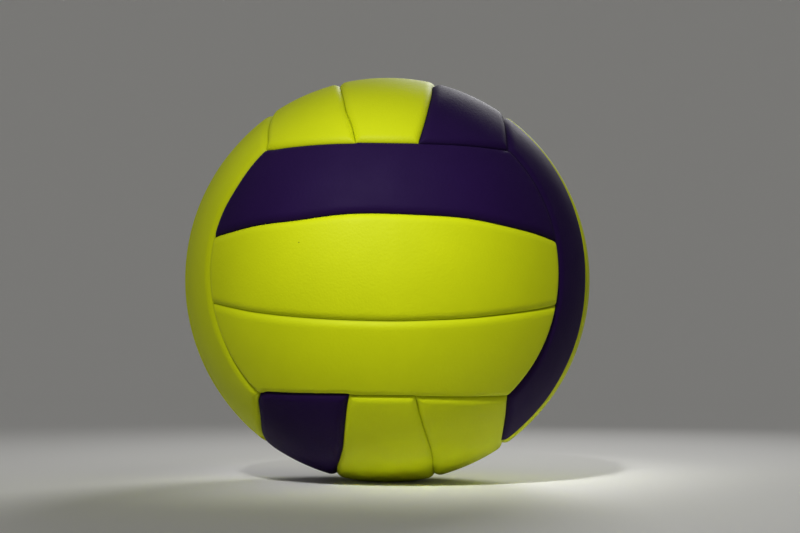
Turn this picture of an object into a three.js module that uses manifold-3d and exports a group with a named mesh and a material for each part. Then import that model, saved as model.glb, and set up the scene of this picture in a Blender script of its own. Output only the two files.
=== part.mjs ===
// An eighteen-panel youth volleyball. Six faces of three strips each lock together at eight corners, like a
// cube blown up into a ball. Each strip is a soft cover whose rim slopes down round a foam pad, and the
// pads lie on a lining, a thread winding and an air bladder, with a needle valve at the back.
// Millimetres, +Z up, the centre of the ball at the origin.
import * as THREE from "three";
import { mergeVertices } from "three/addons/utils/BufferGeometryUtils.js";
import Module from "manifold-3d";

const wasm = await Module();
wasm.setup();

// The ball and its strips. Widths are measured over the surface.
const ballDiameter = 200; // 628 mm round
const middleWaist = 49; // width of a middle strip half-way along
const middleEnd = 30; // width of a middle strip at its ends
const coverSkin = 1.2;
const coverRim = 3; // width of the rim, where the skin is turned under
const rimReach = 5.4; // how far in from a seam the cover starts to fall away
const rimStraight = 1.9; // width of the even slope next to the seam
const rimDrop = 1.75; // how far the seam lies below the crown
const padThickness = 2.8;
const seamGap = 0.3; // between neighbouring covers

// The layers under the pads.
const liningThickness = 1.2;
const windingThickness = 0.8;
const bladderThickness = 0.9;
const layerGap = 0.3; // between any two layers, and round the valve

// The valve.
const valveRecess = 0.6; // how far the valve's face lies below the cover
const coreLength = 17;
const coreDiameter = 4.6;
const coreBevel = 0.8; // at the core's inner end
const coreTip = 4; // solid rubber between the needle's channel and the inner end
const headOverhang = 0.7; // how far the core's head stands out all round
const headThickness = 2;
const needleDiameter = 1.6;
const funnelFlare = 0.6; // how far the mouth of the channel opens out all round
const funnelDepth = 1.2;
const neckWall = 1.2; // round the core's head
const neckBevel = 0.5;
const bodyWall = 2.6; // round the core's stem
const bodyLength = 7; // from the flange to the body's inner end
const flangeWidth = 7.8; // how far the flange stands out from the body
const flangeThickness = 1.8; // where the flange meets the body
const flangeLip = 0.8; // thickness at its rim

// Facets. Both step counts are odd, so the middle of each strip is one small flat, as where a ball rests.
const alongSteps = 9;
const acrossSteps = 3;
const shellDetail = 4;
const flangeSteps = 4;
const valveSides = 20;

const radius = ballDiameter / 2;
const padTop = radius - coverSkin - layerGap;
const padFoot = padTop - padThickness;

// The seams between faces are the circles through the corners of a cube that fits inside the ball.
const faceLatitude = Math.asin(Math.sqrt(1 / 3));

// A flat between two points of a curved wall lies nearer the centre than the points do.
const facetStep = (Math.PI - 2 * faceLatitude) / alongSteps;
const stripFlat = Math.cos(facetStep / 2) ** 2;

const liningOuter = padFoot * stripFlat - layerGap;
const liningInner = liningOuter - liningThickness;
const windingOuter = liningInner - layerGap;
const windingInner = windingOuter - windingThickness;
const bladderOuter = windingInner - layerGap;
const bladderInner = bladderOuter - bladderThickness;

// Each row of a strip lies in a plane. The plane's tilt turns it about the strip's length, and its latitude
// is how far round the ball it then lies from the plane through the centre.
const waistAngle = middleWaist / 2 / radius;
const endAngle = middleEnd / 2 / (radius * Math.cos(faceLatitude));
const endHeight = Math.cos(faceLatitude) * Math.sin(endAngle);
const innerTilt = Math.atan2(
  Math.sin(waistAngle) - endHeight,
  Math.cos(waistAngle) - Math.sin(faceLatitude),
);
const innerSeam = { tilt: innerTilt, latitude: waistAngle - innerTilt };
const lowerSeam = { tilt: -innerSeam.tilt, latitude: -innerSeam.latitude };
const faceSeam = { tilt: 0, latitude: faceLatitude };

// The direction of a point in one of the front face's rows, turned round the ball from the strip's middle.
function directionOf(row, turn) {
  const reach = Math.cos(row.latitude) * Math.cos(turn);
  const outward = reach * Math.cos(row.tilt) - Math.sin(row.latitude) * Math.sin(row.tilt);
  const upward = reach * Math.sin(row.tilt) + Math.sin(row.latitude) * Math.cos(row.tilt);
  const sideways = Math.cos(row.latitude) * Math.sin(turn);
  return new THREE.Vector3(sideways, -outward, upward);
}

// The turn at which a row runs into the end of the strip, drawn in from the face's seam.
function endTurn(row, drawnIn) {
  const outward = Math.sin(faceLatitude + drawnIn / radius);
  const slope = Math.sin(row.latitude) * Math.sin(row.tilt);
  return Math.acos((outward + slope) / (Math.cos(row.latitude) * Math.cos(row.tilt)));
}

function mix(start, end, share) {
  return start + (end - start) * share;
}

// The distances from the edge of a grid at which it has points before its even middle part.
const crownInsets = [0, rimStraight, rimReach];
const plainInsets = [0];

// How far a cover's crown has dropped near its edge: a round shoulder that runs into an even slope.
function dropAt(fromEdge) {
  const shoulder = rimReach - rimStraight;
  const slope = rimDrop / (rimStraight + shoulder / 2);
  const down = Math.max(0, rimReach - fromEdge);
  return down < shoulder ? (slope * down * down) / (2 * shoulder) : slope * (down - shoulder / 2);
}

// A strip's grid between two seams, drawn in from all its edges. Each spot is a direction from the centre
// of the ball, and how far in it lies from the nearest edge, up to the even part.
function stripGrid(below, above, drawnIn, insets) {
  const last = insets.at(-1);
  const low = insets.map((inset) => ({
    tilt: below.tilt,
    latitude: below.latitude + (drawnIn + inset) / radius,
    inset,
  }));
  const high = insets.map((inset) => ({
    tilt: above.tilt,
    latitude: above.latitude - (drawnIn + inset) / radius,
    inset,
  }));
  const between = [];
  for (let step = 1; step < acrossSteps; step += 1) {
    const share = step / acrossSteps;
    between.push({
      tilt: mix(low.at(-1).tilt, high.at(-1).tilt, share),
      latitude: mix(low.at(-1).latitude, high.at(-1).latitude, share),
      inset: last,
    });
  }
  return [...low, ...between, ...high.reverse()].map((row) => {
    const reach = endTurn(row, drawnIn + last);
    const ends = insets.map((inset) => ({ turn: endTurn(row, drawnIn + inset), inset }));
    const columns = ends.map(({ turn, inset }) => ({ turn: -turn, inset }));
    for (let step = 1; step < alongSteps; step += 1) {
      columns.push({ turn: mix(-reach, reach, step / alongSteps), inset: last });
    }
    columns.push(...ends.reverse());
    return columns.map(({ turn, inset }) => ({
      direction: directionOf(row, turn),
      inset: Math.min(row.inset, inset),
    }));
  });
}

// The edge of a grid as pairs of row and column, counterclockwise as seen from outside the ball.
function edgeOf(grid) {
  const lastRow = grid.length - 1;
  const lastColumn = grid[0].length - 1;
  const near = [];
  const far = [];
  for (let column = 0; column < lastColumn; column += 1) {
    near.push([0, column]);
    far.push([lastRow, lastColumn - column]);
  }
  for (let row = 0; row < lastRow; row += 1) {
    near.push([row, lastColumn]);
    far.push([lastRow - row, 0]);
  }
  return [...near, ...far];
}

function loopOf(edge, grid) {
  return edge.map(([row, column]) => grid[row][column]);
}

function addPoint(mesh, direction, distance) {
  mesh.points.push(direction.clone().multiplyScalar(distance));
  return mesh.points.length - 1;
}

function addTriangle(mesh, a, b, c) {
  if (a !== b && b !== c && c !== a) {
    mesh.triangles.push(a, b, c);
  }
}

// A curved sheet over a grid, facing outward or inward. Gives back the number of each spot's point.
function addSheet(mesh, grid, distanceOf, outward) {
  const numberOf = (spot) => addPoint(mesh, spot.direction, distanceOf(spot));
  const numbers = grid.map((row) => row.map(numberOf));
  for (let row = 0; row < grid.length - 1; row += 1) {
    for (let column = 0; column < grid[0].length - 1; column += 1) {
      const a = numbers[row][column];
      const b = numbers[row][column + 1];
      const c = numbers[row + 1][column + 1];
      const d = numbers[row + 1][column];
      addTriangle(mesh, a, outward ? b : c, outward ? c : b);
      addTriangle(mesh, a, outward ? c : d, outward ? d : c);
    }
  }
  return numbers;
}

// A wall between two loops of points. It faces away from the strip where the first loop is the upper one.
function addWall(mesh, first, second) {
  first.forEach((here, index) => {
    const next = (index + 1) % first.length;
    addTriangle(mesh, here, second[index], second[next]);
    addTriangle(mesh, here, second[next], first[next]);
  });
}

function meshGeometry(mesh) {
  return new THREE.BufferGeometry().setFromPoints(mesh.points).setIndex(mesh.triangles);
}

function solidOf(geometry) {
  const bare = geometry.clone();
  bare.deleteAttribute("normal");
  bare.deleteAttribute("uv");
  const merged = mergeVertices(bare);
  const mesh = new wasm.Mesh({
    numProp: 3,
    vertProperties: new Float32Array(merged.attributes.position.array),
    triVerts: new Uint32Array(merged.index.array),
  });
  mesh.merge();
  return new wasm.Manifold(mesh);
}

function geometryOf(solid) {
  const mesh = solid.getMesh();
  const geometry = new THREE.BufferGeometry();
  geometry.setAttribute("position", new THREE.BufferAttribute(mesh.vertProperties, mesh.numProp));
  geometry.setIndex(new THREE.BufferAttribute(mesh.triVerts, 1));
  geometry.computeVertexNormals();
  return geometry;
}

// A cover is a tray: a crowned skin whose edge slopes down into the seam, hollow underneath for its pad.
function coverGeometry(below, above) {
  const mesh = { points: [], triangles: [] };
  const outside = stripGrid(below, above, seamGap / 2, crownInsets);
  const inside = stripGrid(below, above, seamGap / 2 + coverRim, plainInsets);
  const crown = addSheet(mesh, outside, (spot) => radius - dropAt(spot.inset), true);
  const ceiling = addSheet(mesh, inside, () => radius - coverSkin, false);

  const outerEdge = edgeOf(outside);
  const innerEdge = edgeOf(inside);
  const innerFoot = inside.map(() => []);
  for (const [row, column] of innerEdge) {
    innerFoot[row][column] = addPoint(mesh, inside[row][column].direction, padFoot);
  }
  const outerFoot = loopOf(outerEdge, outside).map((spot) => addPoint(mesh, spot.direction, padFoot));
  addWall(mesh, loopOf(outerEdge, crown), outerFoot);
  addWall(mesh, loopOf(innerEdge, innerFoot), loopOf(innerEdge, ceiling));

  // The crown has more points than the hollow, so several of its points share one corner of the hollow.
  const extra = crownInsets.length - plainInsets.length;
  const shared = outerEdge.map(([row, column]) => {
    const innerRow = THREE.MathUtils.clamp(row - extra, 0, acrossSteps);
    const innerColumn = THREE.MathUtils.clamp(column - extra, 0, alongSteps);
    return innerFoot[innerRow][innerColumn];
  });
  addWall(mesh, outerFoot, shared);
  return meshGeometry(mesh);
}

function padGeometry(below, above) {
  const mesh = { points: [], triangles: [] };
  const grid = stripGrid(below, above, seamGap / 2 + coverRim + layerGap, plainInsets);
  const upper = addSheet(mesh, grid, () => padTop, true);
  const lower = addSheet(mesh, grid, () => padFoot, false);
  const edge = edgeOf(grid);
  addWall(mesh, loopOf(edge, upper), loopOf(edge, lower));
  return meshGeometry(mesh);
}

// The valve's radii follow from its core's, outwards.
const stemRadius = coreDiameter / 2;
const headRadius = stemRadius + headOverhang;
const seatRadius = headRadius + layerGap;
const boreRadius = stemRadius + layerGap;
const neckRadius = seatRadius + neckWall;
const bodyRadius = boreRadius + bodyWall;
const flangeRadius = bodyRadius + flangeWidth;
const valveFace = radius * stripFlat - valveRecess;

// The hole that the valve's neck passes through, on the front or the back of the ball.
function valveHole(side) {
  const width = neckRadius + layerGap;
  const hole = new THREE.CylinderGeometry(width, width, radius, valveSides);
  return solidOf(hole.translate(0, side * radius, 0));
}

// A hollow ball with the valve's hole through its wall.
function shellSolid(outer, inner) {
  const outside = solidOf(new THREE.IcosahedronGeometry(outer, shellDetail));
  const inside = solidOf(new THREE.IcosahedronGeometry(inner, shellDetail));
  return outside.subtract(inside).subtract(valveHole(1));
}

// The share of a faceted ball's radius that its flats reach.
function flatShare(ball) {
  const corners = ball.attributes.position;
  let least = 1;
  for (let first = 0; first < corners.count; first += 3) {
    const middle = new THREE.Vector3();
    for (let corner = 0; corner < 3; corner += 1) {
      middle.add(new THREE.Vector3().fromBufferAttribute(corners, first + corner));
    }
    least = Math.min(least, middle.length() / 3);
  }
  return least;
}

// The housing is turned about the valve's axis. Its flange lies against the inside of the bladder.
function housingGeometry() {
  const dome = bladderInner * flatShare(new THREE.IcosahedronGeometry(1, shellDetail)) - layerGap;
  const domeAt = (distance) => Math.sqrt(dome * dome - distance * distance);
  const flangeFoot = domeAt(bodyRadius) - flangeThickness;
  const tail = flangeFoot - bodyLength;
  const seatFoot = valveFace - headThickness - layerGap;
  const profile = [
    new THREE.Vector2(bodyRadius, tail),
    new THREE.Vector2(bodyRadius, flangeFoot),
    new THREE.Vector2(flangeRadius, domeAt(flangeRadius) - flangeLip),
  ];
  for (let step = 0; step <= flangeSteps; step += 1) {
    const distance = mix(flangeRadius, neckRadius, step / flangeSteps);
    profile.push(new THREE.Vector2(distance, domeAt(distance)));
  }
  profile.push(
    new THREE.Vector2(neckRadius, valveFace - neckBevel),
    new THREE.Vector2(neckRadius - neckBevel, valveFace),
    new THREE.Vector2(seatRadius, valveFace),
    new THREE.Vector2(seatRadius, seatFoot),
    new THREE.Vector2(boreRadius, seatFoot),
    new THREE.Vector2(boreRadius, tail),
    new THREE.Vector2(bodyRadius, tail),
  );
  return new THREE.LatheGeometry(profile, valveSides);
}

// The core is a headed plug with a blind channel for the needle.
function coreGeometry() {
  const needleRadius = needleDiameter / 2;
  const inner = valveFace - coreLength;
  const headFoot = valveFace - headThickness;
  const profile = [
    new THREE.Vector2(0, inner),
    new THREE.Vector2(stemRadius - coreBevel, inner),
    new THREE.Vector2(stemRadius, inner + coreBevel),
    new THREE.Vector2(stemRadius, headFoot),
    new THREE.Vector2(headRadius, headFoot),
    new THREE.Vector2(headRadius, valveFace),
    new THREE.Vector2(needleRadius + funnelFlare, valveFace),
    new THREE.Vector2(needleRadius, valveFace - funnelDepth),
    new THREE.Vector2(needleRadius, inner + coreTip),
    new THREE.Vector2(0, inner + coreTip),
  ];
  return new THREE.LatheGeometry(profile, valveSides);
}

const finishes = {
  yellow: { color: 0xc3cf1c, roughness: 0.5 },
  violet: { color: 0x2b1c4a, roughness: 0.48 },
  foam: { color: 0xe9e6d8, roughness: 0.95 },
  lining: { color: 0x2a2a2c, roughness: 0.85 },
  thread: { color: 0xd9d6cc, roughness: 0.8 },
  butyl: { color: 0x1b1b1d, roughness: 0.6 },
  valve: { color: 0x26262a, roughness: 0.6 },
  core: { color: 0x3a3a40, roughness: 0.55 },
};

const ball = new THREE.Group();

function addPiece(parent, name, geometry, finish) {
  const material = new THREE.MeshStandardMaterial({ ...finishes[finish], metalness: 0 });
  const piece = new THREE.Mesh(geometry, material);
  piece.name = name;
  parent.add(piece);
  return piece;
}

// The three strips of a face, from one end of its stack to the other. The last is the first turned half
// round the middle of the face.
const strips = [
  { below: innerSeam, above: faceSeam, turn: 0 },
  { below: lowerSeam, above: innerSeam, turn: 0 },
  { below: innerSeam, above: faceSeam, turn: Math.PI },
];
const upright = { stack: [0, 0, 1], strips: ["upper", "middle", "lower"] };
const level = { stack: [1, 0, 0], strips: ["right", "middle", "left"] };
const sideways = { stack: [0, -1, 0], strips: ["front", "middle", "rear"] };

// Each face looks along its normal. One of its strips is violet, so that three violet strips meet at each
// of two opposite corners.
const faces = [
  { name: "front", normal: [0, -1, 0], ...upright, violet: "upper" },
  { name: "back", normal: [0, 1, 0], ...upright, violet: "lower" },
  { name: "top", normal: [0, 0, 1], ...level, violet: "right" },
  { name: "bottom", normal: [0, 0, -1], ...level, violet: "left" },
  { name: "right", normal: [1, 0, 0], ...sideways, violet: "front" },
  { name: "left", normal: [-1, 0, 0], ...sideways, violet: "rear" },
];
const valveStrip = "back_middle";

for (const face of faces) {
  const stack = new THREE.Vector3(...face.stack);
  const inward = new THREE.Vector3(...face.normal).negate();
  const along = new THREE.Vector3().crossVectors(inward, stack);
  const group = new THREE.Group();
  group.setRotationFromMatrix(new THREE.Matrix4().makeBasis(along, inward, stack));
  ball.add(group);
  face.strips.forEach((stripName, index) => {
    const { below, above, turn } = strips[index];
    const name = `${face.name}_${stripName}`;
    let cover = coverGeometry(below, above);
    let pad = padGeometry(below, above);
    if (name === valveStrip) {
      cover = geometryOf(solidOf(cover).subtract(valveHole(-1)));
      pad = geometryOf(solidOf(pad).subtract(valveHole(-1)));
    }
    const colour = stripName === face.violet ? "violet" : "yellow";
    addPiece(group, `${name}_cover`, cover, colour).rotation.y = turn;
    addPiece(group, `${name}_pad`, pad, "foam").rotation.y = turn;
  });
}

addPiece(ball, "lining", geometryOf(shellSolid(liningOuter, liningInner)), "lining");
addPiece(ball, "thread_winding", geometryOf(shellSolid(windingOuter, windingInner)), "thread");
addPiece(ball, "bladder", geometryOf(shellSolid(bladderOuter, bladderInner)), "butyl");
addPiece(ball, "valve_housing", housingGeometry(), "valve");
addPiece(ball, "valve_core", coreGeometry(), "core");

export default ball;
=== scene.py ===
import math
import random

import bpy
from mathutils import Matrix, Vector, noise


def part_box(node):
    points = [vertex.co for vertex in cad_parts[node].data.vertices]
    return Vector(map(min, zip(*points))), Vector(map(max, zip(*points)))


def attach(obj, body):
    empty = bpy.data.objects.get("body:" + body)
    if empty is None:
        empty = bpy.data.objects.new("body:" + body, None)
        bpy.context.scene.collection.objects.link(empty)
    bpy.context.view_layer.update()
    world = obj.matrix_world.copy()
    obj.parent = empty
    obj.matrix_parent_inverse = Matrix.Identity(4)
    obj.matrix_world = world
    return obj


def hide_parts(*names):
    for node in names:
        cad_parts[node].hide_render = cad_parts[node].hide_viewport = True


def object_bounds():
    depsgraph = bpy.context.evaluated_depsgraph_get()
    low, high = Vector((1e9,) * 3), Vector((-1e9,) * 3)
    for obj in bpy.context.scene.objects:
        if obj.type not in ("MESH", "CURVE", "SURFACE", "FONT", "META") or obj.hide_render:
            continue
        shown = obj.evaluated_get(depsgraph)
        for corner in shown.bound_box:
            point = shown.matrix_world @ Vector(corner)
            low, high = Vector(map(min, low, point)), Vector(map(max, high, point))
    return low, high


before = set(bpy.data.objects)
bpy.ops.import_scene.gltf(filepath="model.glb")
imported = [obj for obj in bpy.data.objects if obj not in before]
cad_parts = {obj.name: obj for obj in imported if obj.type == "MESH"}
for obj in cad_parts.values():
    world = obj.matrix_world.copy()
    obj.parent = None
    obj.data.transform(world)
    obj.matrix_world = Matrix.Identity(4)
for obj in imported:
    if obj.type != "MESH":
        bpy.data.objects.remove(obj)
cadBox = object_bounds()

mm = 0.001
ballRadius = 100 * mm  # over the crowns of the panels
floorHeight = cadBox[0].z

scene = bpy.context.scene
scene.view_settings.view_transform = "Standard"  # keeps the strong yellow as it is

# From sRGB to linear light.
lightCurve = dict(knee=0.04045, slope=12.92, offset=0.055, scale=1.055, power=2.4)


def linearLight(channel):
    if channel <= lightCurve["knee"]:
        return channel / lightCurve["slope"]
    return ((channel + lightCurve["offset"]) / lightCurve["scale"]) ** lightCurve["power"]


def hexColour(text):
    channels = [int(text[start:start + 2], 16) / 255 for start in (1, 3, 5)]
    return (*map(linearLight, channels), 1)


def addNode(tree, kind, settings, sockets):
    node = tree.nodes.new(kind)
    for name, value in settings.items():
        setattr(node, name, value)
    for name, value in sockets.items():
        if isinstance(value, bpy.types.NodeSocket):
            tree.links.new(value, node.inputs[name])
        else:
            node.inputs[name].default_value = value
    return node


# A Mix node has one set of sockets for each kind of value. These are the numbers of those for colours.
mixShare = 0
mixFirst = 6
mixSecond = 7
mixResult = 2


def newMaterial(name):
    material = bpy.data.materials.new(name)
    material.use_nodes = True
    material.node_tree.nodes.clear()
    return material, material.node_tree


def finishMaterial(tree, shaderSockets):
    shader = addNode(tree, "ShaderNodeBsdfPrincipled", {}, shaderSockets)
    addNode(tree, "ShaderNodeOutputMaterial", {}, {"Surface": shader.outputs["BSDF"]})


def deselectAll():
    if bpy.context.object and bpy.context.object.mode != "OBJECT":
        bpy.ops.object.mode_set(mode="OBJECT")
    bpy.ops.object.select_all(action="DESELECT")


def pick(piece):
    deselectAll()
    piece.select_set(True)
    bpy.context.view_layer.objects.active = piece


def applyModifiers(piece):
    pick(piece)
    for modifier in list(piece.modifiers):
        bpy.ops.object.modifier_apply(modifier=modifier.name)


def give(piece, material):
    piece.data.materials.clear()
    piece.data.materials.append(material)


# The camera stands low in front of the ball, a little below its middle, as in the photograph.
cameraView = dict(
    distance=778 * mm, azimuth=0.89, elevation=-3.95, roll=0.36, lens=70.2, sensor=36,
    image=(800, 533), ballAt=(387.5, 279.7),  # where the middle of the ball lies in the image, in pixels
)


def placeCamera(view):
    azimuth, elevation, roll = (math.radians(view[key]) for key in ("azimuth", "elevation", "roll"))
    back = Vector((
        math.sin(azimuth) * math.cos(elevation),
        -math.cos(azimuth) * math.cos(elevation),
        math.sin(elevation),
    ))
    level = Vector((0, 0, 1)).cross(back).normalized()
    upright = back.cross(level)
    right = level * math.cos(roll) + upright * math.sin(roll)
    up = upright * math.cos(roll) - level * math.sin(roll)
    width, height = view["image"]
    perPixel = view["distance"] * view["sensor"] / view["lens"] / width
    aside = (view["ballAt"][0] - width / 2) * perPixel
    below = (view["ballAt"][1] - height / 2) * perPixel
    place = back * view["distance"] - right * aside + up * below
    bpy.ops.object.camera_add()
    camera = bpy.context.object
    camera.data.lens = view["lens"]
    camera.data.sensor_width = view["sensor"]
    camera.matrix_world = Matrix.Translation(place) @ Matrix((right, up, back)).transposed().to_4x4()
    scene.camera = camera


deselectAll()
placeCamera(cameraView)
print("camera placed")


# Soft synthetic leather: polyurethane embossed on microfibre. It has an even, semi-matte colour with a broad
# soft highlight, a fine pebble, and near the seams a darker colour that is painted groove shade with a
# little grime. Lengths are in mm.
# The seam colour is painted shade of the grooves, with a little grime, laid on within the reach from each
# seam.
yellowLook = dict(
    name="synthetic_leather_yellow", colour="#CAD40A", deep="#BFCA06", seam="#9AA405",
    roughness=0.56, gloss=0.14, dirtAndShadeReach=0.7,
)
violetLook = dict(
    name="synthetic_leather_violet", colour="#200B3C", deep="#1B0934", seam="#0B0517",
    roughness=0.64, gloss=0.08, dirtAndShadeReach=1,
)
leather = dict(
    cloud=28, cloudDetail=4, cloudRoughness=0.55,  # slow changes of shade
    cloudLow=0.3, cloudHigh=0.7, smoother=0.04, rougher=0.05,  # how the roughness follows them
    pebble=1.1, pebbleSoftness=0.6,  # the real pebble is about 0.5 mm, drawn coarser to show
    pebbleHeight=0.08, pebbleStrength=0.8,
    pore=0.45, poreDetail=2, poreHeight=0.012, poreStrength=0.4,  # the finest unevenness
    seamDirtAndShade=0.6,  # share of the seam colour right at a seam: painted groove shade with a little grime
    speck=34, speckSize=0.35, speckCore=0.5, speckShare=0.8, speckColour="#1C1B14",  # stray dark marks
    refraction=1.45,
)


def makeLeather(look):
    material, tree = newMaterial(look["name"])
    place = addNode(tree, "ShaderNodeTexCoord", {}, {}).outputs["Object"]
    cloud = addNode(tree, "ShaderNodeTexNoise", {}, {
        "Vector": place, "Scale": 1 / (leather["cloud"] * mm),
        "Detail": leather["cloudDetail"], "Roughness": leather["cloudRoughness"]})
    pebble = addNode(tree, "ShaderNodeTexVoronoi", {"feature": "SMOOTH_F1"}, {
        "Vector": place, "Scale": 1 / (leather["pebble"] * mm), "Smoothness": leather["pebbleSoftness"]})
    pore = addNode(tree, "ShaderNodeTexNoise", {}, {
        "Vector": place, "Scale": 1 / (leather["pore"] * mm), "Detail": leather["poreDetail"]})
    speck = addNode(tree, "ShaderNodeTexVoronoi", {}, {
        "Vector": place, "Scale": 1 / (leather["speck"] * mm)})
    seam = addNode(tree, "ShaderNodeAttribute", {"attribute_name": "fromSeam"}, {})

    shade = addNode(tree, "ShaderNodeMix", {"data_type": "RGBA"}, {
        mixShare: cloud.outputs["Fac"],
        mixFirst: hexColour(look["colour"]), mixSecond: hexColour(look["deep"])})
    # Painted shade: the colour darkens towards the seams as a groove's shade would, with a little grime in
    # it.
    seamDirtAndShadeShare = addNode(tree, "ShaderNodeMapRange", {"interpolation_type": "SMOOTHSTEP"}, {
        "Value": seam.outputs["Fac"], "From Min": 0, "From Max": look["dirtAndShadeReach"],
        "To Min": leather["seamDirtAndShade"], "To Max": 0})
    withSeamDirtAndShade = addNode(tree, "ShaderNodeMix", {"data_type": "RGBA"}, {
        mixShare: seamDirtAndShadeShare.outputs["Result"],
        mixFirst: shade.outputs[mixResult], mixSecond: hexColour(look["seam"])})
    marks = addNode(tree, "ShaderNodeMapRange", {}, {
        "Value": speck.outputs["Distance"],
        "From Min": leather["speckCore"] * leather["speckSize"] / leather["speck"],
        "From Max": leather["speckSize"] / leather["speck"],
        "To Min": leather["speckShare"], "To Max": 0})
    marked = addNode(tree, "ShaderNodeMix", {"data_type": "RGBA"}, {
        mixShare: marks.outputs["Result"],
        mixFirst: withSeamDirtAndShade.outputs[mixResult], mixSecond: hexColour(leather["speckColour"])})

    gloss = addNode(tree, "ShaderNodeMapRange", {}, {
        "Value": cloud.outputs["Fac"], "From Min": leather["cloudLow"], "From Max": leather["cloudHigh"],
        "To Min": look["roughness"] - leather["smoother"], "To Max": look["roughness"] + leather["rougher"]})
    pebbled = addNode(tree, "ShaderNodeBump", {"invert": True}, {
        "Strength": leather["pebbleStrength"], "Distance": leather["pebbleHeight"] * mm,
        "Height": pebble.outputs["Distance"]})
    pored = addNode(tree, "ShaderNodeBump", {}, {
        "Strength": leather["poreStrength"], "Distance": leather["poreHeight"] * mm,
        "Height": pore.outputs["Fac"], "Normal": pebbled.outputs["Normal"]})
    finishMaterial(tree, {
        "Base Color": marked.outputs[mixResult], "Roughness": gloss.outputs["Result"],
        "IOR": leather["refraction"], "Specular IOR Level": look["gloss"],
        "Normal": pored.outputs["Normal"]})
    return material


# Matt stuffs under the covers and in the valve: a slow change of shade, a grain, and a bump from the grain.
# Lengths are in mm.
stuffs = dict(
    foam=dict(
        name="polyethylene_foam", colour="#E8E4D6", deep="#D6D1BF",
        grain=0.8, height=0.08, roughness=0.92),
    lining=dict(
        name="rubberised_cotton", colour="#2B2B2D", deep="#1F1F21",
        grain=0.6, height=0.1, roughness=0.85),
    butyl=dict(
        name="butyl_rubber", colour="#1C1C1E", deep="#2C2B29",
        grain=2.5, height=0.03, roughness=0.62),
    valve=dict(
        name="moulded_rubber_black", colour="#1B1B1D", deep="#252527",
        grain=0.5, height=0.02, roughness=0.6),
    core=dict(
        name="moulded_rubber_grey", colour="#3A3A3E", deep="#2F2F33",
        grain=0.5, height=0.02, roughness=0.55),
)
stuff = dict(
    cloud=9, cloudDetail=3, grainDetail=2, bumpStrength=0.7, refraction=1.52,
    swing=0.06,  # of the roughness, both ways
)


def makeStuff(look):
    material, tree = newMaterial(look["name"])
    place = addNode(tree, "ShaderNodeTexCoord", {}, {}).outputs["Object"]
    cloud = addNode(tree, "ShaderNodeTexNoise", {}, {
        "Vector": place, "Scale": 1 / (stuff["cloud"] * mm), "Detail": stuff["cloudDetail"]})
    grain = addNode(tree, "ShaderNodeTexNoise", {}, {
        "Vector": place, "Scale": 1 / (look["grain"] * mm), "Detail": stuff["grainDetail"]})
    shade = addNode(tree, "ShaderNodeMix", {"data_type": "RGBA"}, {
        mixShare: cloud.outputs["Fac"],
        mixFirst: hexColour(look["colour"]), mixSecond: hexColour(look["deep"])})
    gloss = addNode(tree, "ShaderNodeMapRange", {}, {
        "Value": cloud.outputs["Fac"],
        "To Min": look["roughness"] - stuff["swing"], "To Max": look["roughness"] + stuff["swing"]})
    bump = addNode(tree, "ShaderNodeBump", {}, {
        "Strength": stuff["bumpStrength"], "Distance": look["height"] * mm, "Height": grain.outputs["Fac"]})
    finishMaterial(tree, {
        "Base Color": shade.outputs[mixResult], "Roughness": gloss.outputs["Result"],
        "IOR": stuff["refraction"], "Normal": bump.outputs["Normal"]})
    return material


# Nylon thread wound many ways round the bladder and set in latex: crossing pale ridges.
threadLook = dict(
    name="wound_nylon_thread", colour="#DDD9CC", deep="#8F8A7A", roughness=0.75,
    spacing=1.4, ridge=0.3, bumpStrength=0.8,  # mm between threads, mm high
    bandLength=0.05 * 2 * math.pi,  # of a Wave texture whose scale is 1
    distortion=1.5, detail=1,
    turns=[(0.3, 0.2, 0), (1.3, 0.5, 0.9), (0.6, 1.4, 2.1)],  # the ways of the windings
)


def makeThread(look):
    material, tree = newMaterial(look["name"])
    place = addNode(tree, "ShaderNodeTexCoord", {}, {}).outputs["Object"]
    height = None
    for turn in look["turns"]:
        turned = addNode(tree, "ShaderNodeMapping", {}, {"Vector": place, "Rotation": turn})
        wave = addNode(tree, "ShaderNodeTexWave", {}, {
            "Vector": turned.outputs["Vector"], "Scale": look["bandLength"] / (look["spacing"] * mm),
            "Distortion": look["distortion"], "Detail": look["detail"]})
        if height is None:
            height = wave.outputs["Fac"]
        else:
            both = addNode(tree, "ShaderNodeMath", {"operation": "MAXIMUM"}, {
                0: height, 1: wave.outputs["Fac"]})
            height = both.outputs["Value"]
    shade = addNode(tree, "ShaderNodeMix", {"data_type": "RGBA"}, {
        mixShare: height, mixFirst: hexColour(look["deep"]), mixSecond: hexColour(look["colour"])})
    bump = addNode(tree, "ShaderNodeBump", {}, {
        "Strength": look["bumpStrength"], "Distance": look["ridge"] * mm, "Height": height})
    finishMaterial(tree, {
        "Base Color": shade.outputs[mixResult], "Roughness": look["roughness"],
        "Normal": bump.outputs["Normal"]})
    return material


leathers = dict(yellow=makeLeather(yellowLook), violet=makeLeather(violetLook))
materials = {key: makeStuff(look) for key, look in stuffs.items()}
materials["thread"] = makeThread(threadLook)
print("materials made:", len(materials) + len(leathers))


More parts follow.
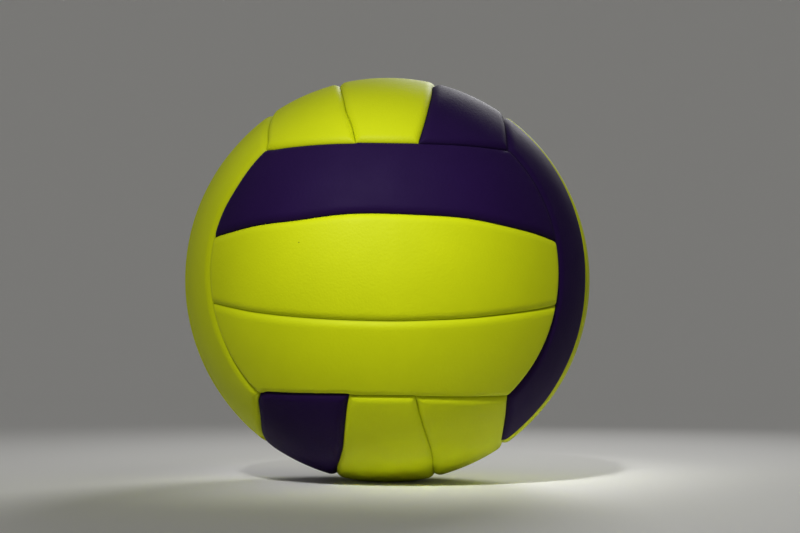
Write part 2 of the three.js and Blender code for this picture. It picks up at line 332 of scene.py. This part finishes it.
# The strips of a face. Widths are over the surface.
strip = dict(
    waist=49 * mm, ends=30 * mm,  # width of a middle strip half-way along and at its ends
    seamGap=0.06 * mm,
    skin=1.2 * mm, rim=3 * mm,  # the cover's thickness, and the width of its turned-under rim
    rimReach=4.4 * mm, rimDrop=1.7 * mm, rimPower=2.7,  # how far the rim rolls over, how deep and how late
    cornerBlend=4,  # the higher, the sharper the mitre at a strip's corners
    padTop=98.5 * mm, padFoot=95.7 * mm, padGap=0.3 * mm,
    rimCells=10, rimCrowding=1.5, cellLength=2.4 * mm, cellWidth=2.2 * mm,
    coverCrease=50, padCrease=40,  # degrees, sharper edges stay sharp
)
faceLatitude = math.asin(math.sqrt(1 / 3))  # the faces meet on the circles of a cube inside the ball
waistAngle = strip["waist"] / 2 / ballRadius
endAngle = strip["ends"] / 2 / (ballRadius * math.cos(faceLatitude))
endHeight = math.cos(faceLatitude) * math.sin(endAngle)
innerTilt = math.atan2(math.sin(waistAngle) - endHeight, math.cos(waistAngle) - math.sin(faceLatitude))
innerSeam = (innerTilt, waistAngle - innerTilt)  # each seam is a circle: its plane's tilt and its latitude
lowerSeam = (-innerTilt, innerTilt - waistAngle)
faceSeam = (0, faceLatitude)


def onCircle(tilt, latitude, turn):
    reach = math.cos(latitude) * math.cos(turn)
    outward = reach * math.cos(tilt) - math.sin(latitude) * math.sin(tilt)
    upward = reach * math.sin(tilt) + math.sin(latitude) * math.cos(tilt)
    return Vector((math.cos(latitude) * math.sin(turn), -outward, upward))


def turnAtEnd(tilt, latitude, inset):
    outward = math.sin(faceLatitude + inset / ballRadius)
    reach = math.cos(latitude) * math.cos(tilt)
    return math.acos((outward + math.sin(latitude) * math.sin(tilt)) / reach)


def mix(start, end, share):
    return start + (end - start) * share


# How far the rows of a rim are from the edge: close together at the seam, wider towards the crown.
def edgeStops():
    cells = strip["rimCells"]
    return [strip["rimReach"] * (k / cells) ** strip["rimCrowding"] for k in range(cells + 1)]


# The rows of a strip from its low seam to its high one: close together near the seams, even between them.
def stripRows(low, high, inset):
    stops = edgeStops()
    lowRows = [(low[0], low[1] + (inset + stop) / ballRadius) for stop in stops]
    highRows = [(high[0], high[1] - (inset + stop) / ballRadius) for stop in stops]
    start, end = lowRows[-1], highRows[-1]
    cells = round((end[0] + end[1] - start[0] - start[1]) * ballRadius / strip["cellWidth"])
    shares = [k / cells for k in range(1, cells)]
    between = [(mix(start[0], end[0], share), mix(start[1], end[1], share)) for share in shares]
    return lowRows + between + highRows[::-1]


def rowTurns(row, inset, cells):
    ends = [turnAtEnd(*row, inset + stop) for stop in edgeStops()]
    between = [mix(-ends[-1], ends[-1], k / cells) for k in range(1, cells)]
    return [-turn for turn in ends] + between + ends[::-1]


def fromCircle(direction, tilt, latitude):
    height = direction.y * math.sin(tilt) + direction.z * math.cos(tilt)
    return (math.asin(height) - latitude) * ballRadius


# The distances from a point of a strip to its nearer long edge and its nearer end.
def fromEdges(direction, low, high):
    side = min(fromCircle(direction, *low), -fromCircle(direction, *high)) - strip["seamGap"] / 2
    end = (math.asin(-direction.y) - faceLatitude) * ballRadius - strip["seamGap"] / 2
    return max(0, side), max(0, end)


# Near an edge a cover rolls over, slowly at first and steeply at the seam.
def rollOff(distance):
    return strip["rimDrop"] * max(0, 1 - distance / strip["rimReach"]) ** strip["rimPower"]


def dropAt(side, end):
    blend = strip["cornerBlend"]
    return (rollOff(side) ** blend + rollOff(end) ** blend) ** (1 / blend)


# A flat grid from -1 to 1 with a cell for each cell of the strip, laid over the ball at the given height.
def addStripSheet(low, high, inset, height, rolled):
    rows = stripRows(low, high, inset)
    length = 2 * turnAtEnd(0, 0, inset + strip["rimReach"]) * ballRadius
    cells = round(length / strip["cellLength"])
    columns = cells + 2 * strip["rimCells"]
    turns = [rowTurns(row, inset, cells) for row in rows]
    deselectAll()
    bpy.ops.mesh.primitive_grid_add(x_subdivisions=columns, y_subdivisions=len(rows) - 1, size=2)
    sheet = bpy.context.object
    for vertex in sheet.data.vertices:
        column = round((vertex.co.x + 1) / 2 * columns)
        row = round((vertex.co.y + 1) / 2 * (len(rows) - 1))
        direction = onCircle(*rows[row], turns[row][column])
        drop = dropAt(*fromEdges(direction, low, high)) if rolled else 0
        vertex.co = direction * (height - drop)
    return sheet


# Joins the open edges of two sheets. With a foot, both are first drawn down to it.
def closeRims(piece, footHeight):
    pick(piece)
    bpy.ops.object.mode_set(mode="EDIT")
    bpy.ops.mesh.select_mode(type="EDGE")
    if footHeight:
        bpy.ops.mesh.select_all(action="DESELECT")
        bpy.ops.mesh.select_non_manifold()
        bpy.ops.mesh.extrude_region_move()
        bpy.ops.object.mode_set(mode="OBJECT")
        for vertex in piece.data.vertices:
            if vertex.select:
                vertex.co = vertex.co.normalized() * footHeight
        bpy.ops.object.mode_set(mode="EDIT")
    bpy.ops.mesh.select_all(action="DESELECT")
    bpy.ops.mesh.select_non_manifold()
    bpy.ops.mesh.bridge_edge_loops()
    bpy.ops.mesh.select_all(action="SELECT")
    bpy.ops.mesh.normals_make_consistent(inside=False)
    bpy.ops.object.mode_set(mode="OBJECT")


def joinSheets(upper, lower):
    pick(lower)
    bpy.ops.object.mode_set(mode="EDIT")
    bpy.ops.mesh.select_all(action="SELECT")
    bpy.ops.mesh.flip_normals()
    bpy.ops.object.mode_set(mode="OBJECT")
    pick(upper)
    lower.select_set(True)
    bpy.ops.object.join()


# How far each point of a cover is from its nearest seam, in mm, for the leather's painted groove shade and
# grime.
def markSeams(cover, low, high):
    attribute = cover.data.attributes.new("fromSeam", "FLOAT", "POINT")
    for vertex in cover.data.vertices:
        attribute.data[vertex.index].value = min(fromEdges(vertex.co.normalized(), low, high)) / mm


def makeCover(name, low, high):
    inset = strip["seamGap"] / 2
    cover = addStripSheet(low, high, inset, ballRadius, True)
    ceiling = addStripSheet(low, high, inset + strip["rim"], ballRadius - strip["skin"], False)
    joinSheets(cover, ceiling)
    closeRims(cover, strip["padFoot"])
    markSeams(cover, low, high)
    cover.name = name
    return cover


def makePad(name, low, high):
    inset = strip["seamGap"] / 2 + strip["rim"] + strip["padGap"]
    pad = addStripSheet(low, high, inset, strip["padTop"], False)
    foot = addStripSheet(low, high, inset, strip["padFoot"], False)
    joinSheets(pad, foot)
    closeRims(pad, None)
    pad.name = name
    return pad


middle = dict(
    cover=makeCover("middleCover", lowerSeam, innerSeam),
    pad=makePad("middlePad", lowerSeam, innerSeam),
)
outer = dict(
    cover=makeCover("outerCover", innerSeam, faceSeam),
    pad=makePad("outerPad", innerSeam, faceSeam),
)
print("strips modelled:", len(middle["cover"].data.polygons), "faces in a middle cover")


# The six faces. A face looks along its normal and its strips are stacked along the second direction.
downwards = ("upper", "middle", "lower")
leftwards = ("right", "middle", "left")
backwards = ("front", "middle", "rear")
faces = [
    dict(name="front", normal=(0, -1, 0), stack=(0, 0, 1), strips=downwards, violet="upper"),
    dict(name="back", normal=(0, 1, 0), stack=(0, 0, 1), strips=downwards, violet="lower"),
    dict(name="top", normal=(0, 0, 1), stack=(1, 0, 0), strips=leftwards, violet="right"),
    dict(name="bottom", normal=(0, 0, -1), stack=(1, 0, 0), strips=leftwards, violet="left"),
    dict(name="right", normal=(1, 0, 0), stack=(0, -1, 0), strips=backwards, violet="front"),
    dict(name="left", normal=(-1, 0, 0), stack=(0, -1, 0), strips=backwards, violet="rear"),
]
for face in faces:
    face["normal"] = Vector(face["normal"])
    face["stack"] = Vector(face["stack"])
    face["along"] = (-face["normal"]).cross(face["stack"])

# The panels are laid by hand: seams wander a little, and a strip's end can sit short or long.
laid = dict(
    wander=0.35 * mm, wanderLength=27 * mm,
    slip=0.45 * mm, slipReach=9 * mm, slipFade=2.5, slipStep=2.5 * mm, cornerSteps=2,
    uneven=0.13 * mm, unevenLength=30 * mm, unevenShift=(7, 3, 1),
    ripple=0.025 * mm, rippleLength=9 * mm, rippleShift=(2, 9, 4),
    seed=5,
)
# How far the ends that the photograph shows are long (+) or short (-), in mm.
seenSlips = {
    ("top", 1): (-0.03, -0.1, 0.45),
    ("bottom", -1): (-0.2, 0.3, 1.2),
    ("left", 1): (-1.6, 0.34, -0.19),
    ("left", -1): (1, 0.04, 0.16),
}
# Where the photograph's seams are drawn aside: the place, the way and how far round it, in mm.
pulls = [
    dict(at=(-39, -88, 21), way=(0, 0, -1.2), reach=20),
    dict(at=(8, -96, 22), way=(0, 0, -0.8), reach=24),
    dict(at=(58, -78, 18), way=(0, 0, -0.5), reach=16),
    dict(at=(-21, -50, -84), way=(1.5, 0, 0), reach=20),
    dict(at=(20, -52, -83), way=(1.2, 0, 0), reach=20),
    dict(at=(-58, -58, 58), way=(3.1, 0, -1.8), reach=12),
    dict(at=(-58, -58, -58), way=(0.2, 0, 1.2), reach=14),
    dict(at=(-16, -73, 66), way=(2.3, 0, 0), reach=28),
    dict(at=(-80, -56, 22), way=(1.4, 0, 1.4), reach=10),
    dict(at=(16, -70, 69), way=(0.3, 0, 0), reach=12),
    dict(at=(22, -30, 93), way=(-0.9, 0, 0), reach=14),
    dict(at=(-58, -25, -76), way=(-1.5, 0, 0), reach=15),
    dict(at=(58, -58, -58), way=(-0.5, 0, 0.4), reach=14),
    dict(at=(58, -10, 80), way=(0, -5, 0), reach=30),
    dict(at=(58, -10, -80), way=(0, -5, 0), reach=30),
    dict(at=(97, -20, 0), way=(0, -2.5, 0), reach=35),
    dict(at=(-69, -59, 41), way=(0, -4, 0), reach=16),
    dict(at=(-18, -64, 75), way=(-1.2, 0, 0), reach=12),
]
draw = random.Random(laid["seed"])
noise.seed_set(laid["seed"])  # noise_vector starts from the clock without it
for face in faces:
    face["slips"] = {end: [draw.uniform(-1, 1) * laid["slip"] for name in face["strips"]] for end in (1, -1)}
    for end in (1, -1):
        if (face["name"], end) in seenSlips:
            face["slips"][end] = [slip * mm for slip in seenSlips[face["name"], end]]


def smoothStep(value):
    share = min(1, max(0, value))
    return share * share * (3 - 2 * share)


def slipAt(direction, face):
    outward = direction.dot(face["normal"])
    fromSeam = (math.asin(outward) - faceLatitude) * ballRadius
    if abs(fromSeam) > laid["slipFade"] * laid["slipReach"]:
        return Vector()
    height = direction.dot(face["stack"])
    first, second, third = face["slips"][1 if direction.dot(face["along"]) > 0 else -1]
    step = laid["slipStep"] / ballRadius
    slip = mix(third, second, smoothStep((height + endHeight) / step + 0.5))
    slip = mix(slip, first, smoothStep((height - endHeight) / step + 0.5))
    inside = smoothStep((math.sin(faceLatitude) - abs(height)) / (laid["cornerSteps"] * step))
    away = (direction * outward - face["normal"]).normalized()
    return away * slip * inside * math.exp(-(fromSeam / laid["slipReach"]) ** 2)


# Moves a point over the ball with its seams, and a little up or down.
def laidPoint(point):
    height = point.length
    direction = point / height
    drift = noise.noise_vector(direction * (ballRadius / laid["wanderLength"])) * laid["wander"]
    for face in faces:
        drift += slipAt(direction, face)
    for pull in pulls:
        away = (direction * ballRadius - Vector(pull["at"]) * mm).length / (pull["reach"] * mm)
        drift += Vector(pull["way"]) * mm * math.exp(-away ** 2)
    drift -= direction * drift.dot(direction)
    unevenAt = direction * (ballRadius / laid["unevenLength"]) + Vector(laid["unevenShift"])
    rippleAt = direction * (ballRadius / laid["rippleLength"]) + Vector(laid["rippleShift"])
    lift = noise.noise(unevenAt) * laid["uneven"]
    lift += noise.noise(rippleAt) * laid["ripple"]
    placed = (direction + drift / ballRadius).normalized() * (height + lift)
    placed.z = max(placed.z, floorHeight)  # flat where the ball rests
    return placed


def copyPiece(source, name):
    piece = source.copy()
    piece.data = source.data.copy()
    piece.name = name
    bpy.context.collection.objects.link(piece)
    return piece


def layStrip(piece, face, turned):
    sign = -1 if turned else 1
    basis = Matrix((face["along"] * sign, -face["normal"], face["stack"] * sign)).transposed()
    for vertex in piece.data.vertices:
        vertex.co = laidPoint(basis @ vertex.co)


# The valve, at the middle of the back's middle strip. Heights are along +Y from the middle of the ball.
valve = dict(
    face=98.28 * mm, holeRadius=4.8 * mm, neckRadius=4.5 * mm, seatRadius=3.3 * mm, seatDepth=2.3 * mm,
    boreRadius=2.6 * mm, bodyRadius=5.2 * mm,
    flangeRadius=13 * mm, flangeTop=90.3 * mm, flangeRoot=1.8 * mm, flangeEdge=0.8 * mm, flangeSteps=6,
    headRadius=3 * mm, headThickness=2 * mm, stemRadius=2.3 * mm, coreLength=17 * mm, channelRadius=0.8 * mm,
    funnelRadius=1.4 * mm, funnelDepth=1.2 * mm, coreTip=4 * mm, coreChamfer=0.8 * mm,
    housingRounding=0.3 * mm, coreRounding=0.25 * mm, roundingSteps=3, roundingAngle=40, crease=45,
    turnSteps=64, leastEdge=0.01 * mm, sameSpot=0.002 * mm,
)


def cutValveHole(piece):
    deselectAll()
    bpy.ops.mesh.primitive_cylinder_add(
        vertices=valve["turnSteps"], radius=valve["holeRadius"], depth=ballRadius,
        location=(0, ballRadius, 0), rotation=(math.pi / 2, 0, 0))
    drill = bpy.context.object
    cut = piece.modifiers.new("valveHole", "BOOLEAN")
    cut.object = drill
    cut.solver = "EXACT"
    applyModifiers(piece)
    bpy.data.objects.remove(drill)
    pick(piece)
    bpy.ops.object.mode_set(mode="EDIT")
    bpy.ops.mesh.select_all(action="SELECT")
    bpy.ops.mesh.dissolve_degenerate(threshold=valve["leastEdge"])
    bpy.ops.object.mode_set(mode="OBJECT")


def smoothByAngle(piece, degrees):
    pick(piece)
    bpy.ops.object.shade_smooth_by_angle(angle=math.radians(degrees))


covers = []
for face in faces:
    for index, stripName in enumerate(face["strips"]):
        name = f"{face['name']}_{stripName}"
        colour = "violet" if stripName == face["violet"] else "yellow"
        base = middle if index == 1 else outer
        cover = copyPiece(base["cover"], f"{name}_panel")
        pad = copyPiece(base["pad"], f"{name}_foam")
        layStrip(cover, face, index == 2)
        layStrip(pad, face, index == 2)
        if name == "back_middle":
            cutValveHole(cover)
            cutValveHole(pad)
        smoothByAngle(cover, strip["coverCrease"])
        smoothByAngle(pad, strip["padCrease"])
        give(cover, leathers[colour])
        give(pad, materials["foam"])
        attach(cover, "ball")
        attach(pad, "ball")
        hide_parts(f"{name}_cover")
        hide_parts(f"{name}_pad")
        covers.append(cover)
for base in (middle, outer):
    for piece in base.values():
        bpy.data.objects.remove(piece)
print("panels laid:", len(covers))


# The layers under the pads are hollow balls with the valve's hole through them.
layers = [
    dict(name="carcass_lining", node="lining", slot="lining", stuff="lining",
         outer=94.3 * mm, wall=1.2 * mm),
    dict(name="winding", node="thread_winding", slot="thread", stuff="thread",
         outer=92.8 * mm, wall=0.8 * mm),
    dict(name="air_bladder", node="bladder", slot="butyl", stuff="butyl",
         outer=91.7 * mm, wall=0.9 * mm),
]
layerFineness = 5  # times that a sphere's faces are split
layerCrease = 40  # degrees
for layer in layers:
    deselectAll()
    bpy.ops.mesh.primitive_ico_sphere_add(subdivisions=layerFineness, radius=layer["outer"])
    shell = bpy.context.object
    shell.name = layer["name"]
    wall = shell.modifiers.new("wall", "SOLIDIFY")
    wall.thickness = layer["wall"]
    applyModifiers(shell)
    cutValveHole(shell)
    smoothByAngle(shell, layerCrease)
    give(shell, materials[layer["stuff"]])
    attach(shell, "ball")
    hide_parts(layer["node"])
print("layers made:", len(layers))


# A profile of points, distance from the axis and height along +Y, extruded point by point and spun.
def turnPiece(name, profile):
    deselectAll()
    bpy.ops.mesh.primitive_plane_add(size=mm)
    piece = bpy.context.object
    piece.name = name
    bpy.ops.object.mode_set(mode="EDIT")
    bpy.ops.mesh.select_mode(type="VERT")
    bpy.ops.mesh.select_all(action="SELECT")
    bpy.ops.mesh.merge(type="CENTER")
    bpy.ops.mesh.select_all(action="SELECT")
    here = Vector((profile[0][0], profile[0][1], 0))
    bpy.ops.transform.translate(value=here)
    for distance, height in profile[1:]:
        there = Vector((distance, height, 0))
        bpy.ops.mesh.extrude_vertices_move(TRANSFORM_OT_translate={"value": there - here})
        here = there
    bpy.ops.mesh.select_all(action="SELECT")
    bpy.ops.mesh.spin(steps=valve["turnSteps"], angle=2 * math.pi, center=(0, 0, 0), axis=(0, 1, 0))
    bpy.ops.mesh.select_all(action="SELECT")
    bpy.ops.mesh.remove_doubles(threshold=valve["sameSpot"])
    bpy.ops.mesh.normals_make_consistent(inside=False)
    bpy.ops.object.mode_set(mode="OBJECT")
    return piece


def roundEdges(piece, width):
    bevel = piece.modifiers.new("rounding", "BEVEL")
    bevel.width = width
    bevel.segments = valve["roundingSteps"]
    bevel.limit_method = "ANGLE"
    bevel.angle_limit = math.radians(valve["roundingAngle"])
    applyModifiers(piece)
    smoothByAngle(piece, valve["crease"])


# The top of the flange lies along the inside of the bladder.
def flangeTopAt(distance):
    return math.sqrt(valve["flangeTop"] ** 2 - distance ** 2)


def housingProfile():
    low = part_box("valve_housing")[0].y
    body, flange, neck = valve["bodyRadius"], valve["flangeRadius"], valve["neckRadius"]
    seat, bore, steps = valve["seatRadius"], valve["boreRadius"], valve["flangeSteps"]
    seatFoot = valve["face"] - valve["seatDepth"]
    across = [mix(flange, neck, k / steps) for k in range(steps + 1)]
    profile = [(body, low), (body, flangeTopAt(body) - valve["flangeRoot"])]
    profile += [(flange, flangeTopAt(flange) - valve["flangeEdge"])]
    profile += [(distance, flangeTopAt(distance)) for distance in across]
    profile += [(neck, valve["face"]), (seat, valve["face"]), (seat, seatFoot)]
    profile += [(bore, seatFoot), (bore, low), (body, low)]
    return profile


def coreProfile():
    face, stem, head = valve["face"], valve["stemRadius"], valve["headRadius"]
    channel, chamfer = valve["channelRadius"], valve["coreChamfer"]
    inner = face - valve["coreLength"]
    headFoot = face - valve["headThickness"]
    profile = [(0, inner), (stem - chamfer, inner), (stem, inner + chamfer), (stem, headFoot)]
    profile += [(head, headFoot), (head, face)]
    profile += [(valve["funnelRadius"], face), (channel, face - valve["funnelDepth"])]
    profile += [(channel, inner + valve["coreTip"]), (0, inner + valve["coreTip"])]
    return profile


housing = turnPiece("valve_body", housingProfile())
roundEdges(housing, valve["housingRounding"])
give(housing, materials["valve"])
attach(housing, "ball")
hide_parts("valve_housing")

core = turnPiece("valve_plug", coreProfile())
roundEdges(core, valve["coreRounding"])
give(core, materials["core"])
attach(core, "valve_core")
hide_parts("valve_core")
print("valve made")


# Studio, in metres: a round pale floor that sweeps up all round under a white sky, with a narrow key from
# the front above and a broader light from behind.
studio = dict(
    floor="#F4F3F0", floorRadius=1.2, floorSides=96, sweep=1.6, sweepSteps=12, wall=1.7, crease=30,
    fibre=3 * mm, fibreDetail=3, smoothest=0.75, roughest=0.9,
    sky="#FFFFFF", skyStrength=0.22,
    lights=[
        dict(name="key", place=(-0.2, -0.93, 0.75), aim=(0.005, -0.085, 0.005),
             size=0.16, spread=9, watts=0.09),
        dict(name="rear", place=(0.3, 1.2, 0.7), aim=(0, 0, 0), size=0.5, spread=50, watts=0.8),
    ],
)


def makeFloor():
    deselectAll()
    bpy.ops.mesh.primitive_circle_add(
        vertices=studio["floorSides"], radius=studio["floorRadius"], fill_type="NGON",
        location=(0, 0, floorHeight))
    floor = bpy.context.object
    floor.name = "floor"
    bpy.ops.object.transform_apply(location=True)
    bpy.ops.object.mode_set(mode="EDIT")
    bpy.ops.mesh.select_mode(type="EDGE")
    bpy.ops.mesh.select_all(action="DESELECT")
    bpy.ops.mesh.select_non_manifold()
    radius, height = studio["floorRadius"], 0
    for k in range(1, studio["sweepSteps"] + 1):
        angle = math.pi / 2 * k / studio["sweepSteps"]
        wider = studio["floorRadius"] + studio["sweep"] * math.sin(angle)
        higher = studio["sweep"] * (1 - math.cos(angle))
        bpy.ops.mesh.extrude_edges_move(TRANSFORM_OT_translate={"value": (0, 0, higher - height)})
        bpy.ops.transform.resize(value=(wider / radius, wider / radius, 1), center_override=(0, 0, 0))
        radius, height = wider, higher
    bpy.ops.mesh.extrude_edges_move(TRANSFORM_OT_translate={"value": (0, 0, studio["wall"] - height)})
    bpy.ops.object.mode_set(mode="OBJECT")
    smoothByAngle(floor, studio["crease"])
    material, tree = newMaterial("matt_paper")
    place = addNode(tree, "ShaderNodeTexCoord", {}, {}).outputs["Object"]
    fibre = addNode(tree, "ShaderNodeTexNoise", {}, {
        "Vector": place, "Scale": 1 / studio["fibre"], "Detail": studio["fibreDetail"]})
    gloss = addNode(tree, "ShaderNodeMapRange", {}, {
        "Value": fibre.outputs["Fac"], "To Min": studio["smoothest"], "To Max": studio["roughest"]})
    finishMaterial(tree, {"Base Color": hexColour(studio["floor"]), "Roughness": gloss.outputs["Result"]})
    give(floor, material)


makeFloor()
for look in studio["lights"]:
    place = Vector(look["place"])
    deselectAll()
    bpy.ops.object.light_add(type="AREA", location=place)
    light = bpy.context.object
    light.name = look["name"]
    light.rotation_euler = (Vector(look["aim"]) - place).to_track_quat("-Z", "Y").to_euler()
    light.data.size = look["size"]
    light.data.energy = look["watts"]
    light.data.spread = math.radians(look["spread"])
    light.visible_camera = False
scene.world = bpy.data.worlds.new("studio")
scene.world.use_nodes = True
background = scene.world.node_tree.nodes["Background"]
background.inputs["Color"].default_value = hexColour(studio["sky"])
background.inputs["Strength"].default_value = studio["skyStrength"]
print("studio lit")
